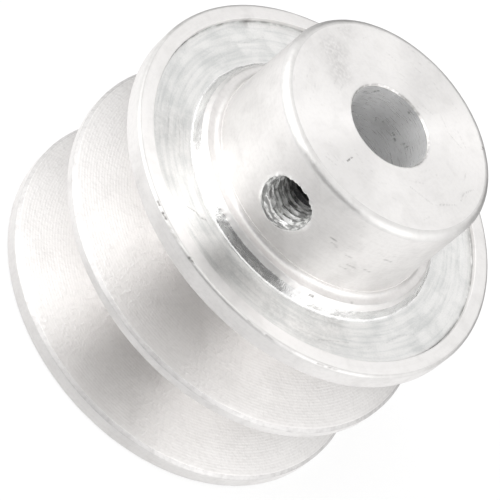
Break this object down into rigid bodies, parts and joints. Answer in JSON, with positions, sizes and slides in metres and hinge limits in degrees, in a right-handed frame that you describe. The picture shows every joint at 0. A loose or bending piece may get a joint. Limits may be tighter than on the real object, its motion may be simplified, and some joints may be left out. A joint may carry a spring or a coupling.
{
  "type": "v belt pulley",
  "caption": "Cast aluminium V belt pulley with two grooves, a one-sided hub, a plain bore and a radial set screw.",
  "frame": {"origin": "centre of the bore on the back rim face, which is the lowest plane", "axes": "+Z along the bore towards the hub, -Y out through the tapped hole, +X completes the frame"},
  "size_m": [0.075, 0.075, 0.0646],
  "materials": {
    "cast_aluminium": "bright turned aluminium, with an as-cast web",
    "blackened_steel": "oiled black oxide"
  },
  "bodies": {
    "pulley": {"pulley_body": "cast_aluminium"},
    "screw": {"set_screw": "blackened_steel"}
  },
  "joints": [
    {"name": "set_screw_travel", "type": "slide", "parent": "pulley", "child": "screw", "axis": [0, -1, 0], "range_m": [-0.001, 0.0145]}
  ]
}
